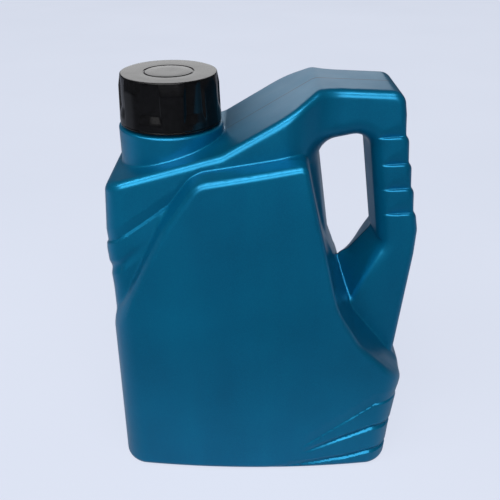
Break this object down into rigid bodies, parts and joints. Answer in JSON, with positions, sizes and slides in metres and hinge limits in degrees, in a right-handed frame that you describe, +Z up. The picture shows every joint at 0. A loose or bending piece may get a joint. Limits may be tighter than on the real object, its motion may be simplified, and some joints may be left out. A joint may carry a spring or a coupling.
{
  "type": "motor oil jug",
  "caption": "Blow-moulded jug with a grip handle on one side, a raised label panel, a collar and a ribbed screw cap for storing and pouring oil.",
  "frame": {"origin": "middle of the flat base, where the jug rests", "axes": "+Z up, +X towards the handle, -Y towards the front label panel"},
  "size_m": [0.21, 0.121, 0.2826],
  "materials": {
    "jug_plastic": "satin pearl blue, blow-moulded",
    "cap_plastic": "glossy black, injection-moulded",
    "liner_foam": "soft white foam"
  },
  "bodies": {
    "jug": {"jug_body": "jug_plastic", "tamper_band": "cap_plastic"},
    "seal": {"cap_liner": "liner_foam"},
    "cap": {"screw_cap": "cap_plastic"}
  },
  "joints": [
    {"name": "cap_lift", "type": "slide", "parent": "jug", "child": "seal", "axis": [0, 0, 1], "range_m": [0, 0.012]},
    {"name": "cap_turn", "type": "hinge", "parent": "seal", "child": "cap", "pos_m": [-0.0543, 0, 0.2678], "axis": [0, 0, 1], "range_deg": [0, 719]}
  ],
  "couplings": [
    {"joint": "cap_lift", "follows": "cap_turn", "m_per_rad": 0.00095493}
  ]
}
